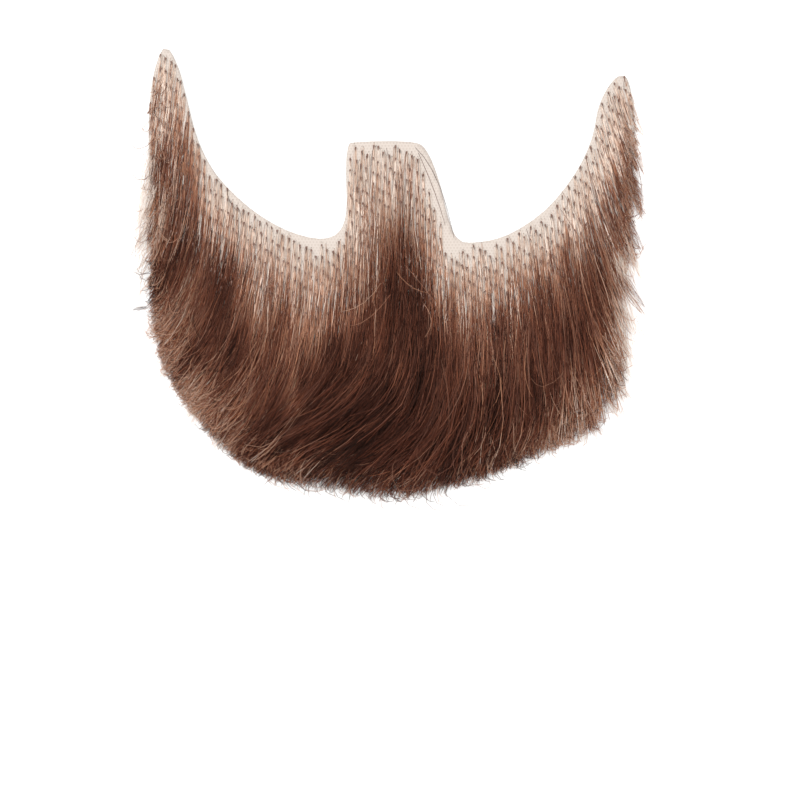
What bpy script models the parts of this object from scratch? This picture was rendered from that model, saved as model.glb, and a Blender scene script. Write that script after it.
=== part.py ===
"""A hand-tied false beard lying flat: a net base and six fields of knotted hair.

The beard lies on its net, hair side up, with the sideburns towards +Y and the chin
towards -Y. Tables are in millimetres, in plan (X, Y); the scene is in metres.
"""

import math

import bmesh
import bpy
from mathutils import Vector

MM = 0.001
# The middle of the finished beard in plan, which becomes the origin
PLAN_CENTRE = (0.26, -0.12)

# The net base
NET_THICKNESS = 1.0
NET_STEPS = 3
GAP = 0.3

# Outline of the net, clockwise from the tip of the left sideburn
NET_OUTLINE = [
    # x, y
    (-67.5, 67.6),
    (-63.5, 62.0),
    (-60.5, 51.0),
    (-57.5, 40.0),
    (-52.0, 29.5),
    (-42.0, 19.5),
    (-31.0, 12.8),
    (-21.0, 10.2),
    (-15.2, 12.2),
    (-12.9, 18.5),
    (-13.0, 30.0),
    (-12.4, 37.6),
    (-9.5, 39.2),
    (6.5, 39.2),
    (11.2, 36.4),
    (14.8, 27.5),
    (17.6, 16.5),
    (20.6, 10.0),
    (26.5, 9.2),
    (35.5, 11.4),
    (46.5, 18.6),
    (55.5, 29.5),
    (60.6, 40.0),
    (62.8, 50.0),
    (66.5, 57.0),
    (70.2, 59.2),
    (72.4, 54.0),
    (73.4, 40.0),
    (72.6, 20.0),
    (71.0, 4.0),
    (67.0, -10.0),
    (59.0, -24.5),
    (46.0, -36.0),
    (28.0, -43.5),
    (8.0, -46.5),
    (-12.0, -45.5),
    (-32.0, -39.5),
    (-48.5, -29.5),
    (-60.5, -16.0),
    (-68.0, 1.0),
    (-71.5, 20.0),
    (-72.2, 40.0),
    (-71.2, 57.0),
]

# Where the hair is trimmed, from the left sideburn round the chin to the right one
TRIM_LINE = [
    # x, y
    (-72.5, 70.0),
    (-73.8, 43.0),
    (-76.0, 25.0),
    (-77.0, 10.0),
    (-74.5, -8.0),
    (-70.5, -24.0),
    (-63.5, -39.0),
    (-52.0, -53.0),
    (-37.0, -61.5),
    (-18.0, -66.2),
    (5.0, -68.0),
    (24.0, -64.8),
    (45.0, -57.5),
    (62.0, -48.5),
    (71.5, -35.0),
    (75.5, -16.0),
    (76.4, 10.0),
    (77.0, 28.0),
    (75.0, 45.0),
    (73.0, 70.0),
]

# How far the hair leans from straight down the beard, in degrees, + towards +X
LEAN_X = [-75.0, -50.0, -25.0, 0.0, 25.0, 50.0, 75.0]
LEAN_ROWS = [
    # y, lean at each LEAN_X
    (60.0, [-4.0, -2.0, 0.0, 0.0, 4.0, 8.0, 14.0]),
    (20.0, [-16.0, -2.0, 0.0, 0.0, 5.0, 6.0, 22.0]),
    (-15.0, [-34.0, -14.0, -3.0, -2.0, 1.0, 4.0, 24.0]),
    (-45.0, [-45.0, -34.0, -24.0, -22.0, -4.0, 6.0, 26.0]),
    (-70.0, [-50.0, -42.0, -40.0, -42.0, -14.0, 4.0, 26.0]),
]

# Locks of hair
BARE_MARGIN = 2.2
HAIR_MARGIN = 1.5
BED_THICKNESS = 0.9
COLUMN_PITCH = 9.6
ROW_PITCH = 12.5
TOP_ROW = 40.0
LAST_ROW = -48.0
HAIRLINE_INSET = 2.0
FLOW_STEP = 1.5
LOCK_STATIONS = 7
LOCK_CROWN = [
    # across, up from the edges
    (-6.0, 0.0),
    (-2.8, 2.0),
    (2.8, 2.0),
    (6.0, 0.0),
]
SHORTER_LOCK = 0.92
SHORTEST_LOCK = 9.0
LOCK_LENGTHS = [
    # y of the root, length
    (60.0, 16.0),
    (30.0, 22.0),
    (0.0, 30.0),
    (-45.0, 38.0),
]
LOCK_WIDTHS = [
    # share of the length, share of the full section
    (0.0, 0.4),
    (0.3, 0.85),
    (0.6, 1.0),
    (0.8, 0.82),
    (0.9, 0.55),
    (1.0, 0.1),
]
HAIR_RISE = [
    # y, height of the topmost lock's middle above the net
    (60.0, 2.0),
    (20.0, 3.6),
    (-20.0, 6.0),
    (-45.0, 6.0),
]
FLOOR_CLEARANCE = 0.15

# The fields of hair, parted along the flow from these points of the hairline
PARTINGS = [
    # x, y
    (-50.5, 27.5),
    (-13.8, 14.5),
    (18.6, 13.5),
    (55.0, 28.5),
]
FIELDS = [
    "hair_sideburn_left",
    "hair_jaw_left",
    "hair_chin",
    "hair_jaw_right",
    "hair_sideburn_right",
]
SOUL_PATCH = "hair_soul_patch"
SOUL_PATCH_ROOTS = 11.0
# The soul patch lies over the chin along a slope, from its foot to its head
SLOPE_FOOT = (14.0, 0.0)
SLOPE_HEAD = (-14.0, 8.5)
FIELD_REACH_X = 200.0
FIELD_REACH_Y = 84.0
CUTTER_TOP = 30.0

NET_COLOUR = (0.86, 0.78, 0.70, 1.0)
HAIR_COLOUR = (0.13, 0.055, 0.035, 1.0)


def interpolate(table, at):
    """The value of a two-column table at a place, kept level past its ends."""
    rows = sorted(table)
    if at <= rows[0][0]:
        return rows[0][1]
    for (low, first), (high, second) in zip(rows, rows[1:]):
        if at <= high:
            share = (at - low) / (high - low)
            return first + share * (second - first)
    return rows[-1][1]


def lean_at(x, y):
    """The angle of the hair in radians at a place in plan."""
    by_row = [(row_y, interpolate(zip(LEAN_X, leans), x)) for row_y, leans in LEAN_ROWS]
    return math.radians(interpolate(by_row, y))


def smooth_line(points, steps, closed):
    """Points along a Catmull-Rom curve through the given ones."""
    count = len(points)
    spans = count if closed else count - 1
    line = []
    for i in range(spans):
        if closed:
            four = [points[(i + k) % count] for k in (-1, 0, 1, 2)]
        else:
            four = [points[min(max(i + k, 0), count - 1)] for k in (-1, 0, 1, 2)]
        a, b, c, d = (Vector(p) for p in four)
        for step in range(steps):
            t = step / steps
            line.append(
                0.5
                * (
                    2 * b
                    + (c - a) * t
                    + (2 * a - 5 * b + 4 * c - d) * t * t
                    + (3 * b - a - 3 * c + d) * t**3
                )
            )
    if not closed:
        line.append(Vector(points[-1]))
    return line


def is_inside(loop, point):
    """Whether a point lies in a closed loop, by counting crossings."""
    inside = False
    for a, b in zip(loop, loop[1:] + loop[:1]):
        if (a.y > point.y) != (b.y > point.y):
            if point.x < a.x + (point.y - a.y) * (b.x - a.x) / (b.y - a.y):
                inside = not inside
    return inside


def distance_to(loop, point):
    """The distance from a point to the nearest stretch of a closed loop."""
    nearest = math.inf
    for a, b in zip(loop, loop[1:] + loop[:1]):
        along = b - a
        share = max(0.0, min(1.0, (point - a).dot(along) / along.length_squared))
        nearest = min(nearest, (point - a - share * along).length)
    return nearest


def offset_loop(loop, distance):
    """A clockwise loop moved outwards, or inwards where distance is negative."""
    moved = []
    for before, point, after in zip(loop[-1:] + loop[:-1], loop, loop[1:] + loop[:1]):
        along = (after - before).normalized()
        place = point + distance * Vector((-along.y, along.x))
        if distance_to(loop, place) > 0.9 * abs(distance):
            moved.append(place)
    return moved


def flow_line(start, length):
    """The path in plan that hair takes from a root."""
    path = [Vector(start)]
    for _ in range(round(length / FLOW_STEP)):
        x, y = path[-1]
        lean = lean_at(x, y)
        path.append(path[-1] + FLOW_STEP * Vector((math.sin(lean), -math.cos(lean))))
    return path


def resampled(path, count):
    """The path again, as count points spaced evenly along it."""
    last = len(path) - 1
    points = []
    for i in range(count):
        at = i * last / (count - 1)
        low = min(int(at), last - 1)
        points.append(path[low].lerp(path[low + 1], at - low))
    return points


def make_material(name, colour, roughness):
    material = bpy.data.materials.new(name)
    material.use_nodes = True
    shader = material.node_tree.nodes["Principled BSDF"]
    shader.inputs["Base Color"].default_value = colour
    shader.inputs["Roughness"].default_value = roughness
    shader.inputs["Metallic"].default_value = 0.0
    return material


def mesh_from_curve(curve_object):
    """A mesh object in place of a curve, with its caps welded on."""
    graph = bpy.context.evaluated_depsgraph_get()
    mesh = bpy.data.meshes.new_from_object(curve_object.evaluated_get(graph))
    faces = bmesh.new()
    faces.from_mesh(mesh)
    bmesh.ops.remove_doubles(faces, verts=faces.verts, dist=0.001 * MM)
    bmesh.ops.recalc_face_normals(faces, faces=faces.faces)
    faces.to_mesh(mesh)
    faces.free()
    made = bpy.data.objects.new(curve_object.name, mesh)
    made.matrix_world = curve_object.matrix_world
    curve = curve_object.data
    bpy.data.objects.remove(curve_object)
    bpy.data.curves.remove(curve)
    return made


def make_plate(name, loop, low, high, collection):
    """A flat piece with the given outline, between two heights."""
    curve = bpy.data.curves.new(name + "_outline", "CURVE")
    curve.dimensions = "2D"
    curve.fill_mode = "BOTH"
    curve.extrude = (high - low) / 2 * MM
    spline = curve.splines.new("POLY")
    spline.points.add(len(loop) - 1)
    spline.use_cyclic_u = True
    for place, point in zip(loop, spline.points):
        point.co = (place.x * MM, place.y * MM, 0.0, 1.0)
    outline = bpy.data.objects.new(name, curve)
    outline.location.z = (low + high) / 2 * MM
    collection.objects.link(outline)
    bpy.context.view_layer.update()
    plate = mesh_from_curve(outline)
    plate.name = name
    collection.objects.link(plate)
    return plate


def as_helper(helper):
    helper.hide_render = True
    helper.display_type = "WIRE"


def lock_path(root, length, net_loop, trim_loop):
    """The line of a lock's edges in space: up off the net, then down to its tip."""
    plan = flow_line(root, length)
    kept = max(sum(is_inside(trim_loop, p) for p in plan), round(SHORTEST_LOCK / FLOW_STEP))
    plan = resampled(plan[: kept + 1], LOCK_STATIONS)
    reach = sum((b - a).length for a, b in zip(plan, plan[1:])) / length
    path = []
    for i, place in enumerate(plan):
        share = i / (LOCK_STATIONS - 1)
        rise = interpolate(HAIR_RISE, place.y) * math.sin(0.5 * math.pi * share) * reach
        if not is_inside(net_loop, place):
            past_net = distance_to(net_loop, place)
            rise *= 1.0 - (past_net / (past_net + distance_to(trim_loop, place))) ** 1.5
        path.append((place, NET_THICKNESS + GAP + rise, interpolate(LOCK_WIDTHS, share)))
    return path


def make_lock(name, path, collection):
    """A tapering lock of hair: a crowned top with walls straight down to the floor."""
    faces = bmesh.new()
    rings = []
    for i, (place, height, size) in enumerate(path):
        along = path[min(i + 1, len(path) - 1)][0] - path[max(i - 1, 0)][0]
        across = Vector((-along.y, along.x)).normalized() * size
        crown = [(place + across * x, height + size * up) for x, up in LOCK_CROWN]
        feet = [(place + across * x, FLOOR_CLEARANCE) for x, _ in LOCK_CROWN[::-3]]
        rings.append([faces.verts.new((p.x * MM, p.y * MM, z * MM)) for p, z in crown + feet])
    for ring, after in zip(rings, rings[1:]):
        for k in range(len(ring)):
            faces.faces.new((ring[k - 1], ring[k], after[k], after[k - 1]))
    faces.faces.new(rings[0])
    faces.faces.new(rings[-1][::-1])
    bmesh.ops.recalc_face_normals(faces, faces=faces.faces)
    mesh = bpy.data.meshes.new(name)
    faces.to_mesh(mesh)
    faces.free()
    lock = bpy.data.objects.new(name, mesh)
    collection.objects.link(lock)
    as_helper(lock)
    return lock


def upper_edge(loop):
    """The part of a clockwise loop from the left sideburn's tip to the right one's."""
    left_tip = min(range(len(loop)), key=lambda i: loop[i].x - loop[i].y)
    turned = loop[left_tip:] + loop[:left_tip]
    right_tip = max(range(len(turned)), key=lambda i: turned[i].x + turned[i].y)
    return turned[: right_tip + 1]


def hairline_roots(bed_loop):
    """Roots along the upper edge, from one sideburn over the lip to the other."""
    edge = upper_edge(offset_loop(bed_loop, -HAIRLINE_INSET))
    length = sum((b - a).length for a, b in zip(edge, edge[1:]))
    pitch = length / round(length / COLUMN_PITCH)
    roots = [edge[0]]
    travelled = 0.0
    for a, b in zip(edge, edge[1:]):
        travelled += (b - a).length
        if travelled >= pitch:
            roots.append(b)
            travelled -= pitch
    return roots


def lock_roots(bed_loop):
    """Roots along the hairline, then in staggered rows down the net."""
    roots = hairline_roots(bed_loop)
    hairline = len(roots)
    for row in range(math.ceil((TOP_ROW - LAST_ROW) / ROW_PITCH)):
        y = TOP_ROW - row * ROW_PITCH
        columns = math.ceil(FIELD_REACH_Y / COLUMN_PITCH)
        for column in range(-columns, columns + 1):
            root = Vector(((column + 0.5 * (row % 2)) * COLUMN_PITCH, y))
            crowded = any((root - r).length < 0.6 * COLUMN_PITCH for r in roots[:hairline])
            if is_inside(bed_loop, root) and not crowded:
                roots.append(root)
    return roots


def parting_lines():
    """Each parting, run up past the hairline and down the flow."""
    lines = []
    for x, y in PARTINGS:
        down = flow_line((x, y), FIELD_REACH_X)
        down = [p for p in down if p.y > -FIELD_REACH_Y]
        lines.append([Vector((x, FIELD_REACH_Y)), *down])
    return lines


def x_on(line, y):
    """Where a parting stands at a height of the beard."""
    return interpolate([(p.y, p.x) for p in line], y)


def field_loop(index, lines):
    """The outline of one field: between two partings, half a gap inside each."""
    if index == 0:
        left = [Vector((-FIELD_REACH_X, y)) for y in (FIELD_REACH_Y, -FIELD_REACH_Y)]
    else:
        left = [p + Vector((0.5 * GAP, 0.0)) for p in lines[index - 1]]
    if index == len(lines):
        right = [Vector((FIELD_REACH_X, y)) for y in (FIELD_REACH_Y, -FIELD_REACH_Y)]
    else:
        right = [p - Vector((0.5 * GAP, 0.0)) for p in lines[index]]
    return left[::-1] + right


def make_slope_cutter(name, lift, collection):
    """All that lies above the slope between the soul patch and the chin."""
    foot_y, foot_z = SLOPE_FOOT
    head_y, head_z = SLOPE_HEAD
    bpy.ops.mesh.primitive_cube_add(size=1.0)
    cutter = bpy.context.object
    cutter.name = name
    cutter.scale = (0.2, 0.12, 0.06)
    cutter.rotation_euler.x = math.atan2(foot_z - head_z, foot_y - head_y)
    along = Vector((0.0, foot_y - head_y, foot_z - head_z)).normalized()
    up = Vector((0.0, -along.z, along.y))
    foot = Vector((0.0, foot_y, foot_z + lift)) * MM
    cutter.location = foot + up * 0.03
    for owner in cutter.users_collection:
        owner.objects.unlink(cutter)
    collection.objects.link(cutter)
    as_helper(cutter)
    return cutter


def add_boolean(target, name, operation, operand):
    modifier = target.modifiers.new(name, "BOOLEAN")
    modifier.operation = operation
    modifier.solver = "EXACT"
    if isinstance(operand, bpy.types.Collection):
        modifier.operand_type = "COLLECTION"
        modifier.collection = operand
    else:
        modifier.object = operand
    return modifier


def new_collection(name, parent):
    made = bpy.data.collections.new(name)
    parent.children.link(made)
    return made


def main():
    for old in list(bpy.data.objects):
        bpy.data.objects.remove(old)
    top = bpy.context.scene.collection
    beard = new_collection("false_beard", top)
    cutters = new_collection("cutters", top)

    net_material = make_material("net", NET_COLOUR, 0.85)
    hair_material = make_material("hair", HAIR_COLOUR, 0.45)

    net_loop = smooth_line(NET_OUTLINE, NET_STEPS, closed=True)
    trim_loop = smooth_line(TRIM_LINE, NET_STEPS, closed=False)
    net_base = make_plate("net_base", net_loop, 0.0, NET_THICKNESS, beard)
    net_base.data.materials.append(net_material)

    clearance = make_plate(
        "net_clearance", offset_loop(net_loop, GAP), -2.0, NET_THICKNESS + GAP, cutters
    )
    as_helper(clearance)
    mouth_side = upper_edge(offset_loop(net_loop, -HAIR_MARGIN))
    mouth_side += [Vector((side * FIELD_REACH_X, FIELD_REACH_Y)) for side in (1.0, -1.0)]
    hairline = make_plate("mouth_side", mouth_side, -2.0, CUTTER_TOP, cutters)
    as_helper(hairline)
    chin_cutter = make_slope_cutter("over_the_chin", -0.5 * GAP, cutters)
    patch_cutter = make_slope_cutter("under_the_soul_patch", 0.5 * GAP, cutters)

    bed_loop = offset_loop(net_loop, -BARE_MARGIN)
    lines = parting_lines()
    locks = {name: new_collection("locks_of_" + name, cutters) for name in [*FIELDS, SOUL_PATCH]}
    for number, root in enumerate(lock_roots(bed_loop)):
        index = sum(root.x > x_on(line, root.y) for line in lines)
        name = FIELDS[index]
        if name == "hair_chin" and root.y > SOUL_PATCH_ROOTS:
            name = SOUL_PATCH
        length = interpolate(LOCK_LENGTHS, root.y)
        length *= SHORTER_LOCK if number % 2 else 1.0
        path = lock_path(root, length, net_loop, trim_loop)
        make_lock(f"lock_{number:03d}", path, locks[name])

    for name, group in locks.items():
        index = FIELDS.index("hair_chin" if name == SOUL_PATCH else name)
        bed_top = NET_THICKNESS + GAP + BED_THICKNESS
        hair = make_plate(name, bed_loop, FLOOR_CLEARANCE, bed_top, beard)
        hair.data.materials.append(hair_material)
        bounds = make_plate(
            "bounds_of_" + name, field_loop(index, lines), -2.0, CUTTER_TOP, cutters
        )
        as_helper(bounds)
        add_boolean(hair, "locks", "UNION", group)
        add_boolean(hair, "field", "INTERSECT", bounds)
        if name == "hair_chin":
            add_boolean(hair, "slope", "DIFFERENCE", chin_cutter)
        else:
            add_boolean(hair, "hairline", "DIFFERENCE", hairline)
        if name == SOUL_PATCH:
            add_boolean(hair, "slope", "INTERSECT", patch_cutter)
        add_boolean(hair, "off_the_net", "DIFFERENCE", clearance)

    for made in bpy.data.objects:
        made.location.x -= PLAN_CENTRE[0] * MM
        made.location.y -= PLAN_CENTRE[1] * MM


main()
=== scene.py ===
"""The look of a hand-tied false beard: a wig net with hair knotted into it in rows.

The tables are in millimetres in plan, with +X to the right and +Y towards the tips of the
sideburns, as the beard lies with its hair side up. Meshes are made in metres.
"""

import sys
import logging
import math
from dataclasses import dataclass
from enum import Enum

import bpy
import numpy as np
from numpy.typing import NDArray
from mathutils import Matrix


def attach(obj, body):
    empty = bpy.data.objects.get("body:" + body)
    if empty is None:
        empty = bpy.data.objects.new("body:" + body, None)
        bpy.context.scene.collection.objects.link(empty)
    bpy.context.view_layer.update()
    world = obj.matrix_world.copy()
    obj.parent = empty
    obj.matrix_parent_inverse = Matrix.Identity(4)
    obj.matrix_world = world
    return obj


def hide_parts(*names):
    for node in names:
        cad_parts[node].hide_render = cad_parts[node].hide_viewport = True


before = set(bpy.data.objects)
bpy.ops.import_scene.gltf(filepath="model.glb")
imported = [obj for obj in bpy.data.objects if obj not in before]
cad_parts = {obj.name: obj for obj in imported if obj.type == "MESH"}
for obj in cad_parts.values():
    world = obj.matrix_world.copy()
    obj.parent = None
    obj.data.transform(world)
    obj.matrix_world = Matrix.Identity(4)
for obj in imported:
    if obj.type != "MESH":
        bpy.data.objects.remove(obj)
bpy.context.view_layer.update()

Array = NDArray[np.float64]
Numbers = NDArray[np.int64]
Flags = NDArray[np.bool_]
Random = np.random.Generator
Table = tuple[tuple[float, ...], ...]
Pair = tuple[float, float]
Place = tuple[float, float, float]
Spans = tuple[float, float, float, float]
Tree = bpy.types.NodeTree
Socket = bpy.types.NodeSocket
Material = bpy.types.Material
Piece = bpy.types.Object

MM = 0.001
# The middle of the beard in the tables, which the CAD model has at its origin
PLAN_CENTRE = (0.26, -0.12)
# The places along a hair where its mesh has a ring, the last two making a blunt cut end
STATIONS = np.array((0.0, 0.16, 0.34, 0.55, 0.77, 0.97, 1.0))
# The share of its length along a hair, and the share of its thickness there
HAIR_TAPER = ((0.0, 0.8), (0.2, 1.0), (0.6, 0.95), (1.0, 0.7))
# How far the wave of a hair runs on from its root to its end, in radians
WAVE_RUN = 9.0
# The seeds of the layers' scatter, the first of them for the first of the long layers
LAYER_SEED = 20
DOWN_SEED = 30
LOG = logging.getLogger("false_beard")


class Field(Enum):
    """The fields of hair, each with the name of its CAD node."""

    SIDEBURN_LEFT = "hair_sideburn_left"
    JAW_LEFT = "hair_jaw_left"
    CHIN = "hair_chin"
    JAW_RIGHT = "hair_jaw_right"
    SIDEBURN_RIGHT = "hair_sideburn_right"
    SOUL_PATCH = "hair_soul_patch"


class Layer(Enum):
    """The two layers of long hair.

    Each has its name, the least and most of the usual length and of the pile's height that its
    hairs reach, and how much lighter they are.
    """

    UNDER = ("under", (0.5, 0.95), (0.1, 0.7), -0.05)
    OVER = ("over", (0.8, 1.1), (0.55, 1.0), 0.03)

    def __init__(self, title: str, lengths: Pair, lift: Pair, lighter: float) -> None:
        """Keeps the layer's values."""
        self.title = title
        self.lengths = lengths
        self.lift = lift
        self.lighter = lighter


def hex_to_linear(code: str) -> tuple[float, float, float, float]:
    """Turns an sRGB colour into linear light.

    Args:
        code: The colour as six hex digits after a hash.

    Returns:
        Red, green, blue and an alpha of 1.
    """
    channels = (int(code[i : i + 2], 16) / 255 for i in (1, 3, 5))
    red, green, blue = (c / 12.92 if c <= 0.04045 else ((c + 0.055) / 1.055) ** 2.4 for c in channels)
    return red, green, blue, 1.0


def add_node(
    tree: Tree,
    kind: str,
    settings: dict[str, object] | None = None,
    values: dict[str | int, object] | None = None,
    links: dict[str | int, Socket] | None = None,
) -> bpy.types.Node:
    """Adds a node with its settings, socket values and links.

    Args:
        tree: The node tree that it goes into.
        kind: Blender's name for the type of node.
        settings: Properties of the node.
        values: Values of input sockets that nothing is linked to.
        links: Output sockets that feed its input sockets.

    Returns:
        The node.
    """
    node = tree.nodes.new(kind)
    for name, value in (settings or {}).items():
        setattr(node, name, value)
    for socket, value in (values or {}).items():
        node.inputs[socket].default_value = value
    for socket, source in (links or {}).items():
        tree.links.new(source, node.inputs[socket])
    return node


def new_material(name: str) -> tuple[Material, Tree]:
    """Makes an empty node material.

    Args:
        name: The material's name.

    Returns:
        The material and its node tree, with nothing in it.
    """
    material = bpy.data.materials.new(name)
    material.use_nodes = True
    material.node_tree.nodes.clear()
    return material, material.node_tree


def colour_ramp(tree: Tree, source: Socket, stops: Table) -> bpy.types.Node:
    """Adds a colour ramp.

    Args:
        tree: The node tree that it goes into.
        source: The socket that drives it.
        stops: Positions with their hex colours.

    Returns:
        The ramp's node.
    """
    ramp = add_node(tree, "ShaderNodeValToRGB", links={"Fac": source})
    elements = ramp.color_ramp.elements
    while len(elements) < len(stops):
        elements.new(0.5)
    for element, (position, code) in zip(elements, stops):
        element.position = position
        element.color = hex_to_linear(code)
    return ramp


def map_range(tree: Tree, source: Socket, spans: Spans, ease: str = "LINEAR") -> Socket:
    """Adds a node that carries a value from one range over to another.

    Args:
        tree: The node tree that it goes into.
        source: The value.
        spans: The start and end of its range, and what they become.
        ease: Blender's name for the way that it runs between them.

    Returns:
        The socket with the result.
    """
    values = dict(zip(("From Min", "From Max", "To Min", "To Max"), spans))
    settings = {"interpolation_type": ease}
    return add_node(tree, "ShaderNodeMapRange", settings, values, {"Value": source}).outputs["Result"]


def mix_colours(
    tree: Tree, share: Socket, under: Socket | str, over: str, blend: str = "MIX"
) -> Socket:
    """Adds a mix of two colours.

    Args:
        tree: The node tree that it goes into.
        share: How much there is of the second one.
        under: The first, as a socket or in hex digits.
        over: The second, in hex digits.
        blend: Blender's name for the way that they mix.

    Returns:
        The socket with the colour.
    """
    values = {"B": hex_to_linear(over)}
    links = {"Factor": share}
    if isinstance(under, str):
        values["A"] = hex_to_linear(under)
    else:
        links["A"] = under
    settings = {"data_type": "RGBA", "blend_type": blend}
    return add_node(tree, "ShaderNodeMix", settings, values, links).outputs["Result"]


def add_bump(tree: Tree, height: Socket, strength: float) -> Socket:
    """Adds a relief of 0.05 mm and returns the socket with its normals."""
    values = {"Strength": strength, "Distance": 0.05 * MM}
    return add_node(tree, "ShaderNodeBump", values=values, links={"Height": height}).outputs["Normal"]


def add_surface(
    tree: Tree,
    values: dict[str | int, object],
    links: dict[str | int, Socket] | None = None,
) -> None:
    """Adds the shader with its values and links, and feeds the material's output from it."""
    shader = add_node(tree, "ShaderNodeBsdfPrincipled", values=values, links=links)
    add_node(tree, "ShaderNodeOutputMaterial", links={"Surface": shader.outputs["BSDF"]})


@dataclass(frozen=True)
class DyedHair:
    """Human hair, dyed brown and cut to length.

    Keratin is smooth and slightly translucent, so each hair has a narrow soft gloss. Dye takes
    unevenly, so neighbours differ from near black to a dusty tan, roots look darker where they
    are drawn tight, and ends that were trimmed dry are a little lighter and redder.
    """

    name: str
    shades: Table
    root_shade: str
    end_shade: str
    roughness: float = 0.5
    gloss: float = 0.22
    gloss_tint: str = "#ffd9c0"
    # Where along a hair the root's shade fades out and the end's shade comes in, and how strong
    root_fade: Spans = (0.01, 0.075, 0.85, 0.0)
    end_fade: Spans = (0.55, 1.0, 0.0, 0.25)

    def build(self) -> Material:
        """Makes the material, which reads each hair's tone and the place along it."""
        material, tree = new_material(self.name)
        tone, along = (
            add_node(tree, "ShaderNodeAttribute", {"attribute_name": title}).outputs["Fac"]
            for title in ("tone", "along")
        )
        shade = colour_ramp(tree, tone, self.shades).outputs["Color"]
        rooted = mix_colours(tree, map_range(tree, along, self.root_fade), shade, self.root_shade)
        near_end = map_range(tree, along, self.end_fade)
        ended = mix_colours(tree, near_end, rooted, self.end_shade, "SOFT_LIGHT")
        look = {
            "Roughness": self.roughness,
            "Specular IOR Level": self.gloss,
            "Specular Tint": hex_to_linear(self.gloss_tint),
        }
        add_surface(tree, look, {"Base Color": ended})
        return material


@dataclass(frozen=True)
class Knotwork:
    """The same hair drawn tight in a knot, which is darker and duller than the loose hair."""

    name: str
    tint: str = "#74564a"
    roughness: float = 0.7

    def build(self) -> Material:
        """Makes the material."""
        material, tree = new_material(self.name)
        add_surface(tree, {"Base Color": hex_to_linear(self.tint), "Roughness": self.roughness})
        return material


@dataclass(frozen=True)
class WigNet:
    """Fine knitted wig net of undyed nylon, in a pale skin tone.

    The threads are matt. Fine fuzz fills the holes between them, so only a little of what lies
    under the net shows and it reads as a pale film with rows of faint dots, as far apart as the
    holes of a real net.
    """

    name: str
    thread: str
    film: str
    hole_pitch_mm: float = 0.98
    hole_share: float = 0.3
    hole_alpha: float = 0.92
    hole_edge: Pair = (0.8, 1.2)
    relief: float = 0.3
    roughness: float = 0.82

    def build(self) -> Material:
        """Makes the material, with round holes on a honeycomb grid."""
        material, tree = new_material(self.name)
        place = add_node(tree, "ShaderNodeTexCoord")
        pitch = self.hole_pitch_mm * MM
        cell = (pitch, pitch * math.sqrt(3), 1.0)
        nearest = [
            self.to_hole(tree, place.outputs["Object"], cell, shift)
            for shift in ((0.0, 0.0, 0.0), (cell[0] / 2, cell[1] / 2, 0.0))
        ]
        distance = add_node(
            tree, "ShaderNodeMath", {"operation": "MINIMUM"}, links={0: nearest[0], 1: nearest[1]}
        )
        radius = self.hole_share * pitch
        inner, outer = (radius * share for share in self.hole_edge)
        thread = map_range(tree, distance.outputs["Value"], (inner, outer, 0.0, 1.0), "SMOOTHSTEP")
        links = {
            "Base Color": mix_colours(tree, thread, self.film, self.thread),
            "Alpha": map_range(tree, thread, (0.0, 1.0, self.hole_alpha, 1.0)),
            "Normal": add_bump(tree, thread, self.relief),
        }
        add_surface(tree, {"Roughness": self.roughness, "IOR": 1.53}, links)
        return material

    def to_hole(self, tree: Tree, place: Socket, cell: Place, shift: Place) -> Socket:
        """Adds the distance to the nearest middle of a hole on one rectangular grid.

        Args:
            tree: The node tree.
            place: The place on the net.
            cell: The grid's pitch each way.
            shift: Where the grid starts.

        Returns:
            The socket with the distance in metres.
        """
        half = tuple(side / 2 for side in cell)
        steps = (
            ("SUBTRACT", {1: shift}),
            ("WRAP", {1: half, 2: tuple(-side for side in half)}),
            ("MULTIPLY", {1: (1.0, 1.0, 0.0)}),
            ("LENGTH", {}),
        )
        for operation, values in steps:
            settings = {"operation": operation}
            node = add_node(tree, "ShaderNodeVectorMath", settings, values, {0: place})
            place = node.outputs[0]
        return node.outputs["Value"]


@dataclass(frozen=True)
class StudioPaper:
    """Seamless white background paper, matt, with a faint felt grain."""

    name: str
    tint: str = "#f7f7f6"
    grain_mm: float = 1.5
    relief: float = 0.05
    roughness: float = 0.95

    def build(self) -> Material:
        """Makes the material."""
        material, tree = new_material(self.name)
        place = add_node(tree, "ShaderNodeTexCoord")
        grain = add_node(
            tree,
            "ShaderNodeTexNoise",
            values={"Scale": 1.0 / (self.grain_mm * MM), "Detail": 3.0},
            links={"Vector": place.outputs["Object"]},
        )
        look = {"Base Color": hex_to_linear(self.tint), "Roughness": self.roughness}
        add_surface(tree, look, {"Normal": add_bump(tree, grain.outputs["Fac"], self.relief)})
        return material


BROWN_HAIR = DyedHair(
    name="dyed_brown_hair",
    shades=(
        (0.0, "#241310"),
        (0.1, "#371b15"),
        (0.19, "#4e281d"),
        (0.26, "#4e3028"),
        (0.34, "#6d3d2c"),
        (0.42, "#6f493c"),
        (0.5, "#8e5840"),
        (0.58, "#936d5c"),
        (0.66, "#b37f62"),
        (0.75, "#bd9b87"),
        (0.85, "#d9bda9"),
        (1.0, "#f3e7dc"),
    ),
    root_shade="#33241f",
    end_shade="#b98f7a",
)
KNOTTED_HAIR = Knotwork(name="knotted_hair")
PALE_NET = WigNet(name="pale_wig_net", thread="#c2b7ae", film="#bfb2a8")
WHITE_PAPER = StudioPaper(name="white_paper")


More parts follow.
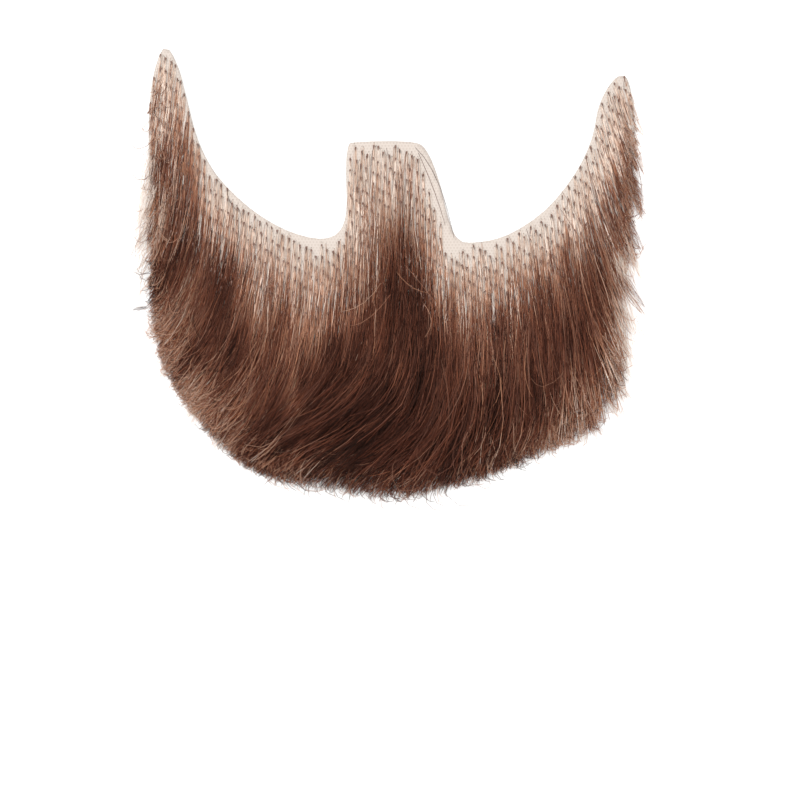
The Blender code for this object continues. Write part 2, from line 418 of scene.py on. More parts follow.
def smooth_line(points: Table, steps: int, closed: bool) -> Array:
    """Draws a Catmull-Rom curve through points.

    Args:
        points: The points that it goes through.
        steps: How many points it has for each span.
        closed: Whether it returns to its start.

    Returns:
        Its points, one to a row.
    """
    given = np.array(points, float)
    padded = np.vstack((given[-1:], given, given[:2]) if closed else (given[:1], given, given[-1:]))
    a, b, c, d = (padded[k : len(padded) - 3 + k, None, :] for k in range(4))
    t = np.linspace(0.0, 1.0, steps, endpoint=False)[None, :, None]
    curve = 2 * b + (c - a) * t + (2 * a - 5 * b + 4 * c - d) * t**2 + (3 * b - a - 3 * c + d) * t**3
    line = (0.5 * curve).reshape(-1, 2)
    return line if closed else np.vstack((line, given[-1:]))


def inside_loop(loop: Array, points: Array) -> Flags:
    """Tells which points lie in a closed loop.

    Args:
        loop: The loop's points.
        points: The points to test.

    Returns:
        True for each point inside.
    """
    after = np.roll(loop, -1, axis=0)
    x, y = points[:, 0:1], points[:, 1:2]
    spans = (loop[:, 1] > y) != (after[:, 1] > y)
    rise = np.where(after[:, 1] == loop[:, 1], 1.0, after[:, 1] - loop[:, 1])
    crossing = loop[:, 0] + (y - loop[:, 1]) * (after[:, 0] - loop[:, 0]) / rise
    return ((spans & (x < crossing)).sum(1) % 2).astype(bool)


def nearest_on_line(line: Array, points: Array) -> Array:
    """Finds the nearest place on a line of straight stretches.

    Args:
        line: The line's points.
        points: The points to start from.

    Returns:
        The nearest place to each point.
    """
    start, along = line[:-1], np.diff(line, axis=0)
    offset = points[:, None, :] - start
    share = np.clip((offset * along).sum(2) / np.maximum((along**2).sum(1), 1e-12), 0.0, 1.0)
    places = start + share[..., None] * along
    best = ((points[:, None, :] - places) ** 2).sum(2).argmin(1)
    return places[np.arange(len(points)), best]


def unit(vectors: Array) -> Array:
    """Returns vectors scaled to a length of 1."""
    return vectors / np.maximum(np.linalg.norm(vectors, axis=-1, keepdims=True), 1e-9)


def read_table(table: Table, at: Array) -> Array:
    """Returns what a table of two columns gives at each value, in between its rows too."""
    return np.interp(at, *np.array(table).T)


def nearness(places: Array, spot: list[float]) -> Array:
    """Tells how near places are to a soft oval spot.

    Args:
        places: The places.
        spot: Its middle's x and y, and its half width and half height.

    Returns:
        1 in its middle, falling to 0 well away from it.
    """
    x, y, wide, high = spot
    away = np.hypot((places[..., 0] - x) / wide, (places[..., 1] - y) / high)
    return np.exp(-(away**2))


def with_height(path: Array, height: Array) -> Array:
    """Returns paths in plan with a height for each of their points."""
    return np.concatenate((path, height[..., None]), axis=2)


def turned(path: Array, centre: Array, turn: Array) -> Array:
    """Turns hairs in plan.

    Args:
        path: The hairs' points.
        centre: The place that each hair turns about.
        turn: The angle for each point, in radians.

    Returns:
        The new points.
    """
    x, y = np.moveaxis(path[..., :2] - centre, 2, 0)
    sine, cosine = np.sin(turn), np.cos(turn)
    moved = np.stack((x * cosine - y * sine, x * sine + y * cosine), axis=2)
    return np.concatenate((centre + moved, path[..., 2:]), axis=2)


def add_piece(mesh: bpy.types.Mesh, material: Material) -> Piece:
    """Puts a smooth mesh in the scene as a piece with the same name."""
    mesh.polygons.foreach_set("use_smooth", np.ones(len(mesh.polygons), bool))
    mesh.materials.append(material)
    piece = bpy.data.objects.new(mesh.name, mesh)
    bpy.context.scene.collection.objects.link(piece)
    return piece


def declare(piece: Piece, node: str) -> None:
    """Hangs a piece under the root body and hides the CAD solid that it stands for."""
    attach(piece, "root")
    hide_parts(node)


def drawn_together(path: Array, guide: Array, hold: Array) -> Array:
    """Moves hairs sideways towards others that lead them.

    Args:
        path: The hairs' points.
        guide: Where the hair that leads each of them is, at the same distance from its root.
        hold: How much of the way each point moves.

    Returns:
        The new points.
    """
    pull = guide - path
    ahead = unit(np.gradient(path, axis=1))
    pull -= ahead * (pull * ahead).sum(2, keepdims=True)
    return path + pull * hold[..., None]


def nearest_root(roots: Array, leading: Array) -> Numbers:
    """Returns which of the leading hairs is nearest to each root."""
    parts = np.array_split(roots, max(1, len(roots) // 500))
    return np.concatenate([((p[:, None] - leading[None]) ** 2).sum(2).argmin(1) for p in parts])


def place_at(path: Array, which: Numbers, at: Array) -> Array:
    """Returns the points of some paths at fractional point numbers."""
    at = np.clip(at, 0.0, path.shape[1] - 1 - 1e-6)
    low = at.astype(int)
    share = (at - low)[..., None]
    rows = which[:, None]
    return path[rows, low] * (1 - share) + path[rows, low + 1] * share


@dataclass(frozen=True)
class Lie:
    """How hairs lie next to the usual lean, in radians, with a value for each hair."""

    turn: Array
    bend: Array
    wave: Array
    phase: Array

    @classmethod
    def still(cls, count: int) -> "Lie":
        """Returns hairs that keep to the usual lean."""
        return cls(*np.zeros((4, count)))

    @classmethod
    def loose(cls, scale: Array, turn: float, bend: float, rng: Random) -> "Lie":
        """Returns hairs that stray from it by so many degrees each."""
        count = len(scale)
        return cls(
            rng.normal(0.0, math.radians(turn), count) * scale,
            rng.normal(0.0, math.radians(bend), count) * scale,
            rng.normal(0.0, math.radians(turn), count) * scale,
            rng.uniform(0.0, 2 * math.pi, count),
        )

    def at(self, share: float) -> Array:
        """Returns the difference at a share of the length."""
        return self.turn + self.bend * share + self.wave * np.sin(self.phase + WAVE_RUN * share)


@dataclass(frozen=True)
class BeardPlan:
    """The beard in plan: its net, its trim line and the way that the hair lies."""

    # x, y, clockwise from the tip of the left sideburn
    net_outline: Table = (
        (-67.5, 67.6), (-63.5, 62), (-60.5, 51), (-57.5, 40), (-52, 29.5), (-42, 19.5),
        (-31, 12.8), (-21, 10.2), (-15.2, 12.2), (-12.9, 18.5), (-13, 30), (-12.4, 37.6),
        (-9.5, 39.2), (6.5, 39.2), (11.2, 36.4), (14.8, 27.5), (17.6, 16.5), (20.6, 10),
        (26.5, 9.2), (35.5, 11.4), (46.5, 18.6), (55.5, 29.5), (60.6, 40), (62.8, 50),
        (66.5, 57), (70.2, 59.2), (72.4, 54), (73.4, 40), (72.6, 20), (71, 4), (67, -10),
        (59, -24.5), (46, -36), (28, -43.5), (8, -46.5), (-12, -45.5), (-32, -39.5),
        (-48.5, -29.5), (-60.5, -16), (-68, 1), (-71.5, 20), (-72.2, 40), (-71.2, 57),
    )
    # Where the ends of the hair are trimmed: x, y, round the chin from left to right
    trim_line: Table = (
        (-69.5, 76), (-72, 60), (-73.6, 43), (-74.6, 25), (-75.4, 10), (-73.4, -8),
        (-69.8, -24), (-63.4, -37.6), (-52.4, -51), (-38.4, -60.4), (-18, -65.6), (5, -67.4),
        (24, -62.9), (45, -54.9), (63, -48.8), (73.2, -35.4), (75.8, -16), (76.6, 10),
        (77.4, 28), (76, 45), (73.5, 62), (71, 76),
    )
    # The place that the trim line is drawn round
    trim_middle: Pair = (0.0, 20.0)
    # How far the hair leans from straight down, in degrees, + towards +X
    lean_x: tuple[float, ...] = (-75, -55, -35, -15, 0, 15, 35, 55, 75)
    # y, lean at each lean_x
    lean_rows: Table = (
        (65, -10, -3, 0, 0, 0, 0, 2, 8, 18), (30, -10, -2, -1, 0, 0, 3, 4, 8, 24),
        (5, -26, -9, -4, -1, 0, 2, 4, 8, 28), (-20, -50, -30, -10, -4, -8, -3, 2, 7, 28),
        (-40, -52, -46, -30, -48, -42, -14, 0, 4, 20),
        (-52, -52, -50, -50, -58, -52, -30, -10, 0, 16),
        (-64, -52, -48, -44, -42, -38, -26, -14, -6, 10),
    )
    # Where the fields part at the hairline, x, y, from left to right
    partings: Table = ((-50.5, 27.5), (-13.8, 14.5), (18.6, 13.5), (55, 28.5))
    # How far the partings are followed, in how many steps, and where the soul patch ends
    parting_length: float = 150.0
    parting_steps: int = 60
    soul_patch_foot: float = 11.0
    # The strip of bare net on the right of the soul patch: y, x where the knots end
    flap: Table = ((6, 17.4), (17.4, 14.4), (27.9, 11.4), (36.9, 8.4), (40, 8))
    flap_foot: float = 7.0
    flap_right: float = 21.0

    def net_loop(self) -> Array:
        """Returns the net's smooth outline."""
        return smooth_line(self.net_outline, 3, closed=True)

    def on_net(self, places: Array) -> Flags:
        """Tells which places are on the net."""
        return inside_loop(self.net_loop(), places)

    def nearest_edge(self, places: Array) -> Array:
        """Returns the place on the net's outline that is nearest to each place."""
        loop = self.net_loop()
        return nearest_on_line(np.vstack((loop, loop[:1])), places)

    def hairline(self) -> Array:
        """Returns the part of the net's outline on the mouth's side."""
        loop = self.net_loop()
        loop = np.roll(loop, -int((loop[:, 0] - loop[:, 1]).argmin()), axis=0)
        return loop[: int((loop[:, 0] + loop[:, 1]).argmax()) + 1]

    def depth(self, places: Array) -> Array:
        """Returns how far each place is from the hairline."""
        flat = places.reshape(-1, 2)
        return np.hypot(*(flat - nearest_on_line(self.hairline(), flat)).T).reshape(places.shape[:-1])

    def lean(self, places: Array) -> Array:
        """Returns the lean of the hair in radians at each place."""
        x, y = places[:, 0], places[:, 1]
        rows = np.array(self.lean_rows)[::-1]
        by_row = np.stack([np.interp(x, self.lean_x, row[1:]) for row in rows])
        level = np.clip(np.interp(y, rows[:, 0], np.arange(len(rows))), 0, len(rows) - 1 - 1e-9)
        low = level.astype(int)
        each = np.arange(len(places))
        share = level - low
        return np.radians(by_row[low, each] * (1 - share) + by_row[low + 1, each] * share)

    def trim_room(self, places: Array) -> Array:
        """Returns how far each place is inside the trim line, in mm."""
        line = smooth_line(self.trim_line, 6, closed=False) - self.trim_middle
        turn = np.arctan2(line[:, 0], -line[:, 1])
        order = turn.argsort()
        reach = np.hypot(line[:, 0], line[:, 1])
        offset = places - self.trim_middle
        angle = np.arctan2(offset[..., 0], -offset[..., 1])
        edge = np.interp(angle, turn[order], reach[order])
        return edge - np.hypot(offset[..., 0], offset[..., 1])

    def trace(self, roots: Array, lengths: Array, lie: "Lie", steps: int) -> Array:
        """Follows hairs down the beard in plan.

        Args:
            roots: Where they start.
            lengths: How long they are.
            lie: How they differ from the usual lean.
            steps: How many stretches each path has.

        Returns:
            The paths, by hair, then point, then x and y.
        """
        path = [roots]
        for i in range(steps):
            lean = self.lean(path[-1]) + lie.at(i / steps)
            ahead = np.stack((np.sin(lean), -np.cos(lean)), axis=1)
            path.append(path[-1] + ahead * (lengths / steps)[:, None])
        return np.stack(path, axis=1)

    def fields(self, roots: Array) -> Numbers:
        """Returns the number of the field that each root is in."""
        starts = np.array(self.partings)
        count = len(starts)
        lengths = np.full(count, self.parting_length)
        found = np.zeros(len(roots), int)
        for line in self.trace(starts, lengths, Lie.still(count), self.parting_steps):
            found += roots[:, 0] > np.interp(-roots[:, 1], -line[:, 1], line[:, 0])
        fields = list(Field)
        chin = found == fields.index(Field.CHIN)
        patch = chin & (roots[:, 1] > self.soul_patch_foot)
        return np.where(patch, fields.index(Field.SOUL_PATCH), found)


@dataclass
class Strands:
    """Hairs as lines in space, in mm, with a thickness and a tone each."""

    paths: Array
    thickness: Array
    tone: Array
    field: Numbers

    def chosen(self, keep: Flags) -> "Strands":
        """Returns only the hairs that are kept."""
        return Strands(self.paths[keep], self.thickness[keep], self.tone[keep], self.field[keep])

    def build(self, name: str, material: Material) -> Piece:
        """Makes one mesh of closed, tapering three-sided hairs.

        Args:
            name: The piece's name.
            material: Its finish.

        Returns:
            The piece.
        """
        count, points = self.paths.shape[:2]
        ahead = unit(np.gradient(self.paths, axis=1))
        side = unit(np.cross(ahead, (0.0, 0.0, 1.0)))
        up = np.cross(side, ahead)
        radius = 0.5 * self.thickness * read_table(HAIR_TAPER, STATIONS)
        angles = (math.pi / 2 + 2 * math.pi * k / 3 for k in range(3))
        corners = [
            self.paths + (math.cos(angle) * side + math.sin(angle) * up) * radius[..., None]
            for angle in angles
        ]
        rings = np.stack(corners, axis=2)[:, :-1]
        tips = self.paths[:, -1]
        places = np.concatenate((rings.reshape(count, -1, 3), tips[:, None]), axis=1)
        each = places.shape[1]
        places[..., :2] -= PLAN_CENTRE

        ring, k = np.meshgrid(np.arange(points - 2), np.arange(3), indexing="ij")
        first = (ring * 3 + k).ravel()
        second = (ring * 3 + (k + 1) % 3).ravel()
        quads = np.stack((first, second, second + 3, first + 3), axis=1)
        last = 3 * (points - 2)
        ends = np.array([(0, 2, 1)] + [(last + k, last + (k + 1) % 3, each - 1) for k in range(3)])
        corners_of_one = np.concatenate((quads.ravel(), ends.ravel()))
        sizes_of_one = np.concatenate((np.full(len(quads), 4), np.full(len(ends), 3)))
        loops = (corners_of_one + each * np.arange(count)[:, None]).ravel()
        sizes = np.tile(sizes_of_one, count)

        mesh = bpy.data.meshes.new(name)
        mesh.vertices.add(count * each)
        mesh.vertices.foreach_set("co", (places * MM).astype(np.float32).ravel())
        mesh.loops.add(len(loops))
        mesh.loops.foreach_set("vertex_index", loops.astype(np.int32))
        mesh.polygons.add(len(sizes))
        starts = np.concatenate(([0], np.cumsum(sizes)[:-1]))
        mesh.polygons.foreach_set("loop_start", starts.astype(np.int32))
        mesh.update(calc_edges=True)

        ring_of = np.append(np.repeat(np.arange(points - 1), 3), points - 1)
        tone = self.tone[:, ring_of].ravel()
        place_along = np.tile(STATIONS[ring_of], count)
        for title, data in (("tone", tone), ("along", place_along)):
            attribute = mesh.attributes.new(title, "FLOAT", "POINT")
            attribute.data.foreach_set("value", data.astype(np.float32))
        # Each hair is a narrow upright strip of the map that follows its tone, so hairs that
        # overlap there have the same colours
        across = np.tile(np.append(np.tile((0.0, -0.003, 0.003), points - 1), 0.0), count)
        spot = np.stack((0.02 + 0.96 * tone + across, 0.02 + 0.96 * place_along), axis=1)
        layer = mesh.uv_layers.new(name="OFBake")
        layer.uv.foreach_set("vector", spot[loops].astype(np.float32).ravel())
        return add_piece(mesh, material)


@dataclass
class NetBase:
    """The net that the hair is knotted into, with its sizes in mm."""

    plan: BeardPlan
    finish: WigNet
    cell: float = 1.6
    thickness: float = 0.22
    # How high its middle lies, its ripples, how far its edge curls up and how wide the curl is
    height: float = 0.45
    ripple: float = 0.16
    edge_curl: float = 0.3
    curl_width: float = 1.6
    # The share of a cell within which a corner moves onto the outline
    snap: float = 0.3

    def heights(self, places: Array, from_edge: Array) -> Array:
        """Returns how high the net's middle lies, with slow ripples and a lifting edge."""
        x, y = places[:, 0], places[:, 1]
        ripple = np.sin(x / 5.3 + 0.6 * np.sin(y / 9.0)) * np.sin(y / 7.1 + 1.0)
        curl = np.exp(-from_edge / self.curl_width) * (0.6 + 0.4 * np.sin(x / 3.1 + y / 2.7))
        return self.height + self.ripple * ripple + self.edge_curl * curl

    def top_at(self, places: Array) -> Array:
        """Returns how high the net's upper face is at places on it."""
        flat = places.reshape(-1, 2)
        from_edge = np.hypot(*(flat - self.plan.nearest_edge(flat)).T)
        top = self.heights(flat, from_edge) + 0.5 * self.thickness
        return top.reshape(places.shape[:-1])

    def build(self) -> Piece:
        """Makes the net as a thin sheet cut along its outline."""
        loop = self.plan.net_loop()
        low, high = loop.min(0) - self.cell, loop.max(0) + self.cell
        lines = [np.arange(low[k], high[k] + self.cell, self.cell) for k in range(2)]
        grid = np.stack(np.meshgrid(*lines, indexing="ij"), axis=-1)
        places = grid.reshape(-1, 2)
        inside = self.plan.on_net(places)
        near = self.plan.nearest_edge(places)
        gap = np.hypot(*(places - near).T)
        # A corner just outside the outline, or just inside it, moves onto it
        moved = ~inside | (gap < self.snap * self.cell)
        places = np.where(moved[:, None], near, places)
        number = np.arange(len(places)).reshape(grid.shape[:2])
        cells = np.stack(
            (number[:-1, :-1], number[1:, :-1], number[1:, 1:], number[:-1, 1:]), axis=-1
        ).reshape(-1, 4)
        cells = cells[~moved[cells].all(1)]
        height = self.heights(places, np.where(moved, 0.0, gap))
        points = np.column_stack((places - PLAN_CENTRE, height)) * MM
        used, index = np.unique(cells, return_inverse=True)
        mesh = bpy.data.meshes.new("net_base_sheet")
        mesh.from_pydata(points[used].tolist(), [], index.reshape(-1, 4).tolist())
        piece = add_piece(mesh, self.finish.build())
        solid = piece.modifiers.new("thickness", "SOLIDIFY")
        solid.thickness = self.thickness * MM
        solid.offset = 0.0
        return piece


@dataclass
class Knots:
    """The knots that tie the hair to the net, in slanting rows."""

    plan: BeardPlan
    # The step from a knot to the next one in its row, and from row to row
    next_in_row: Pair = (1.68, -1.02)
    next_row: Pair = (0.0, -3.9)
    rows: int = 60
    scatter: float = 0.21
    # The bare margin, and in the sideburns the reach of the row at the edge and its own margin
    edge_margin: float = 1.0
    sideburn_foot: float = 24.0
    sideburn_side: float = 40.0
    edge_reach: float = 1.3
    edge_row: float = 0.55
    seed: int = 11
    sides: int = 6
    lean_scatter: float = 0.16
    size_scatter: Pair = (0.8, 1.2)
    tail_scatter: Pair = (0.5, 1.4)
    # How steeply the bundle of hair that leaves a knot rises
    tail_slope: float = 0.12
    # A knot's shape from its upper end to the end of the tight bundle of hair that leaves it:
    # share of its length, of its upper half above the middle and of its tail below, half width
    outline: Table = ((0.75, 0.6), (0, 1), (-0.13, 0.75), (-0.3, 0.4), (-0.7, 0.2))
    tail: float = 1.7
    # A knot's half width, half length and half height
    size: tuple[float, float, float] = (0.26, 0.35, 0.3)
    # depth below the hairline, height of the knots above the net, as the hair bears them up
    rise: Table = ((0, 0.35), (8, 0.8), (14, 1.4), (19, 1.3), (25, 0.5))
    # depth below the hairline, hairs in each knot
    hairs: Table = ((0, 7), (5, 7), (12, 10), (19, 15), (27, 19), (60, 23))
    # More and less thickly knotted places: x, y, half width, half height, share of the hairs
    density_places: Table = (
        (-66, 40, 8, 30, 1.7), (68, 36, 8, 26, 1.6), (-20, -8, 7, 13, 0.5),
        (-34, -2, 6, 9, 0.75), (27, -6, 7, 11, 0.55), (41, -2, 7, 10, 0.75),
        (-2, 20, 8, 8, 1.5),
    )

    def places(self) -> tuple[Array, Array]:
        """Returns the knots' places, and how far each is below the hairline."""
        rng = np.random.default_rng(self.seed)
        numbers = np.arange(-self.rows, self.rows + 1)
        i, j = np.meshgrid(numbers, numbers)
        places = np.stack((i.ravel(), j.ravel()), axis=1) @ np.array((self.next_in_row, self.next_row))
        places = places[self.plan.on_net(places)]
        near = self.plan.nearest_edge(places)
        margin = np.hypot(*(places - near).T)
        x, y = places[:, 0], places[:, 1]
        plan = self.plan
        bare = (x > read_table(plan.flap, y)) & (x < plan.flap_right) & (y > plan.flap_foot)
        # Up the sideburns a knot that comes near the edge is tied right at it
        sideburn = (y > self.sideburn_foot) & (np.abs(x) > self.sideburn_side)
        to_edge = sideburn & (margin < self.edge_reach)
        inward = (places - near) / np.maximum(margin, 1e-6)[:, None]
        places = np.where(to_edge[:, None], near + inward * self.edge_row, places)
        places = places[((margin > self.edge_margin) | to_edge) & ~bare]
        places = places + rng.normal(0.0, self.scatter, places.shape)
        places = places[self.plan.on_net(places)]
        return places, self.plan.depth(places)

    def hair_counts(self, places: Array, depth: Array, rng: Random) -> Numbers:
        """Returns how many hairs each knot holds."""
        wanted = read_table(self.hairs, depth)
        for *spot, share in self.density_places:
            wanted *= 1.0 - (1.0 - share) * nearness(places, spot)
        return np.floor(wanted + rng.random(len(places))).astype(int)

    def build(self, part: Field, net: "NetBase", material: Material) -> Piece:
        """Makes the knots of one field as one mesh of small beads.

        Args:
            part: The field.
            net: The net that they sit on.
            material: Their finish.

        Returns:
            The piece.
        """
        places, depth = self.places()
        number = list(Field).index(part)
        here = self.plan.fields(places) == number
        places, depth = places[here], depth[here]
        rng = np.random.default_rng(self.seed + 1 + number)
        count = len(places)
        sides = self.sides
        turn = np.linspace(0.0, 2 * math.pi, sides, endpoint=False)
        rings = [
            np.stack((np.cos(turn) * across, np.full(sides, along), np.sin(turn) * across), axis=1)
            for along, across in self.outline
        ]
        bead = np.vstack((*rings, (0.0, 1.0, 0.0), (0.0, -1.0, 0.0)))
        last = sides * (len(rings) - 1)
        faces: list[tuple[int, ...]] = []
        for k in range(sides):
            after = (k + 1) % sides
            faces += [
                (first + k, first + after, first + sides + after, first + sides + k)
                for first in range(0, last, sides)
            ]
            faces += [(last + sides, after, k), (last + sides + 1, last + k, last + after)]
        tail = self.tail * rng.uniform(*self.tail_scatter, count)[:, None]
        along = np.where(bead[:, 1] < 0.0, -bead[:, 1] * tail, -bead[:, 1] * self.size[1])
        scale = rng.uniform(*self.size_scatter, count)[:, None]
        lean = self.plan.lean(places) + rng.normal(0.0, self.lean_scatter, count)
        ahead = np.stack((np.sin(lean), -np.cos(lean)), axis=1)
        across = np.stack((-ahead[:, 1], ahead[:, 0]), axis=1)
        points = places[:, None] - PLAN_CENTRE + along[..., None] * ahead[:, None]
        points = points + (bead[:, 0] * self.size[0] * scale)[..., None] * across[:, None]
        height = (net.top_at(places) + read_table(self.rise, depth))[:, None]
        height = height + bead[:, 2] * self.size[2] * scale
        height += self.tail_slope * np.clip(along, 0.0, None)
        points = with_height(points, height)
        each = len(bead)
        tables = [
            tuple(each * knot + corner for corner in face) for knot in range(count) for face in faces
        ]
        mesh = bpy.data.meshes.new(f"{part.value}_knots")
        mesh.from_pydata((points.reshape(-1, 3) * MM).tolist(), [], tables)
        return add_piece(mesh, material)


@dataclass
class Pelt:
    """All the hair of the beard, knot by knot."""

    plan: BeardPlan
    net: NetBase
    # y of the root, length
    lengths: Table = ((-45, 42), (-20, 35), (0, 28), (30, 20), (60, 14))
    # y, height of the top of the hair above the net
    pile: Table = ((-60, 7.6), (-20, 6.6), (20, 4), (60, 2.4))
    # depth below the hairline, share of that height that the hair there reaches
    pile_share: Table = ((6, 0.08), (14, 0.2), (22, 0.5), (32, 1))
    # y, how many times its depth a place counts as there, as the sideburns are narrow but full
    thicker_up: Table = ((-5, 1), (25, 2))
    # depth below the hairline, thickness of a hair
    thickness: Table = ((0, 0.1), (12, 0.13), (30, 0.19))
    # Hair runs together in wisps, and wisps in locks
    wisps: int = 850
    locks: int = 150
    # How firmly a wisp holds its hairs, from least to most, and a lock its wisps
    wisp_hold: Pair = (0.4, 1.0)
    lock_hold: float = 0.7
    # Scatter of the trimmed length from wisp to wisp and from hair to hair
    cut_scatter: Pair = (0.8, 0.9)
    # Scatter of the height from lock to lock and from wisp to wisp, as shares of it
    lift_scatter: Pair = (0.18, 0.14)
    # Scatter of the tone from wisp to wisp, lock to lock, hair to hair and knot to knot
    tone_scatter: Spans = (0.085, 0.05, 0.09, 0.06)
    root_scatter: float = 0.14
    thickness_scatter: Pair = (0.8, 1.2)
    # The steps of the hairs that lead wisps and locks, and which step is near their trimmed ends
    leader_step: float = 1.5
    leader_steps: int = 30
    leader_end: int = 12
    steps: int = 14
    # How far hair turns at random along its length, in degrees, and how far wisps and locks do
    turn: tuple[float, float, float] = (8.0, 7.5, 7.0)
    bend: tuple[float, float, float] = (14.0, 13.0, 13.0)
    # Hair is at its full height this far from its root, and this far inside the trim line
    full_rise: float = 34.0
    rim: float = 15.0
    # The height of the lowest hair on the net, and on the surface beside it
    lowest: Pair = (0.7, 0.3)
    # depth below the hairline, share of pale hairs
    pale: Table = ((0, 0.7), (8, 0.55), (16, 0.2), (24, 0.02))
    # How much lighter the pale hairs are, and how many times as thick
    pale_step: float = 0.22
    pale_thickness: float = 1.6
    # depth of a place on the hair, how much of that difference in tone is left there
    fading: Table = ((18, 1), (40, 0.3))
    # The last stretch of a hair, over which it gets lighter, and how much lighter
    dry_end: float = 7.0
    dry_lighter: float = 0.12
    # How far inside the trim line hairs begin to differ more in tone
    uneven_rim: float = 16.0
    # room inside the trim line, share of its thickness that a hair has
    end_thickness: Table = ((0, 0.75), (5, 1))
    # depth below the hairline, how much darker the hairs between the pale ones are
    darker_between: Table = ((0, 0.22), (8, 0.14), (18, 0))
    # The short pale hair along the hairline: how deep it reaches, hairs at each knot, scatter,
    # length, steps, how freely it lies, its height, how far it bows up, its thickness, and how
    # much lighter it is than the other hair there, with the scatter of that
    down_reach: float = 15.0
    down_hairs: int = 7
    down_spread: Pair = (0.34, 0.8)
    down_length: Pair = (3.5, 8.0)
    down_steps: int = 6
    down_looseness: float = 0.25
    down_height: float = 0.08
    down_bow: Pair = (0.1, 0.5)
    down_thickness: Pair = (0.15, 0.21)
    down_lighter: Pair = (0.2, 0.08)
    # Where the ends are cut unevenly: x, y, half width, half height, usual cut, spread
    ragged_places: Table = (
        (73, -14, 11, 22, 8.5, 2.5), (78, 26, 10, 18, 3.5, 2.5), (-77, 9, 9, 21, 4.4, 2.4),
        (66, -46, 16, 12, 1, 2.2), (-58, -48, 16, 14, 0.8, 1.8),
    )
    # depth below the hairline, tone: paler near the hairline and darker deeper in, partly the
    # hair's own colour and partly painted highlight at the hairline and painted shade of the thick
    # pile deeper in
    tone_and_shade_by_depth: Table = ((0, 0.78), (7, 0.66), (13, 0.5), (22, 0.34), (50, 0.29))
    # Darker and lighter places: x, y, half width, half height, change of tone
    tone_places: Table = (
        (-10, -50, 26, 16, -0.2), (8, -22, 14, 16, -0.06), (7, -7, 6, 18, -0.18),
        (-19, -12, 6, 12, 0.15), (-49, -8, 5, 7, -0.07), (21, -14, 5, 10, 0.06),
        (0, 9, 15, 7, -0.09), (50, -51, 11, 7, 0.24), (65, -38, 7, 9, 0.16),
        (-2.5, 15, 6, 9, 0.13), (-12, -22, 5, 9, -0.12), (34, -46, 7, 8, -0.1),
        (-62, 3, 7, 8, 0.07), (-58, 30, 4, 11, -0.16), (-69, 6, 4, 8, 0.07),
        (-40, -14, 7, 8, 0.05), (22, -12, 6, 12, 0.07), (-59, -27, 5, 5, -0.12),
        (-56, -14, 6, 10, 0.1), (31, -8, 6, 9, 0.04), (-62.5, 41, 4, 17, -0.24),
        (-62, 18, 6, 12, -0.12), (-70, 42, 2.5, 20, 0.06), (69, 28, 4, 12, -0.12),
        (57, 12, 6, 9, 0.16), (46, 9, 6, 6, 0.07), (-22.5, -18, 3.5, 10, 0.16),
        (-29, -38, 3, 9, 0.08), (-30, -38, 5, 7, 0.06), (51, -22, 9, 9, -0.07),
        (-60, -10, 6, 9, 0.09), (15, -27, 5, 8, -0.05), (-10, 20, 3, 8, -0.08),
        (-50, -53, 9, 7, 0.14), (-68, -20, 9, 13, 0.32), (-52, -42, 14, 10, 0.26),
        (-61, -38, 6, 8, 0.24), (52, -54, 10, 5, 0.14), (60, -33, 11, 14, 0.16),
        (72, 6, 8, 26, 0.2), (70, -16, 5, 22, 0.32), (0, 23, 6, 9, 0.2),
        (73, 30, 4, 16, 0.1), (-28, -18, 2.6, 26, 0.14), (-32, -34, 10, 14, 0.07),
        (-69, 14, 3.5, 10, 0.14), (-39, -8, 6, 10, 0.09), (-39, -9, 6, 10, 0.15),
        (58, -46, 11, 8, 0.24), (47, -39, 6, 6, -0.08), (57, -17, 6, 7, -0.06),
        (46, -22, 7, 11, -0.13), (-36, -51, 9, 5, -0.13), (26, -12, 6, 12, 0.04),
        (-49, -18, 7, 10, -0.08), (-0.6, -39, 1.4, 6, -0.3), (-26.4, -31, 0.9, 6, -0.3),
        (9, -34, 3, 8, -0.12),
    )

    def leading(self, roots: Array, count: int, kind: int, rng: Random) -> tuple[Array, Array]:
        """Lays out hairs that lead others.

        Args:
            roots: Where all the hairs are knotted.
            count: How many lead.
            kind: 1 for wisps and 2 for locks.
            rng: The source of scatter.

        Returns:
            The leaders' roots and their paths.
        """
        first = roots[rng.choice(len(roots), count, replace=False)]
        lie = Lie.loose(self.looseness(first), self.turn[kind], self.bend[kind], rng)
        reach = np.full(count, self.leader_step * self.leader_steps)
        return first, self.plan.trace(first, reach, lie, self.leader_steps)

    def wisps_of(self, roots: Array, rng: Random) -> tuple[Array, Array]:
        """Lays out the leading hairs of the wisps, which run together in locks.

        Args:
            roots: Where all the hairs are knotted.
            rng: The source of scatter.

        Returns:
            The leading hairs, and the number of the lock that each is in.
        """
        first, wisps = self.leading(roots, self.wisps, 1, rng)
        start, locks = self.leading(roots, self.locks, 2, rng)
        lock = nearest_root(first, start)
        share = np.linspace(0.0, 1.0, self.leader_steps + 1)
        hold = self.looseness(first)[:, None] * self.lock_hold * share**1.2
        return drawn_together(wisps, locks[lock], hold), lock

    def looseness(self, places: Array) -> Array:
        """Returns how freely hair lies, from 0.3 at the hairline to 1 deep in the beard."""
        return np.interp(self.plan.depth(places), (8.0, 26.0), (0.3, 1.0))

    def fullness(self, roots: Array, depth: Array) -> Array:
        """Returns the depth that each root counts as having."""
        return depth * read_table(self.thicker_up, roots[:, 1])

    def room(self, path: Array) -> Array:
        """Returns how far inside the trim line the points of hairs are, with 0 beyond it."""
        return np.clip(self.plan.trim_room(path[..., :2]), 0.0, None)

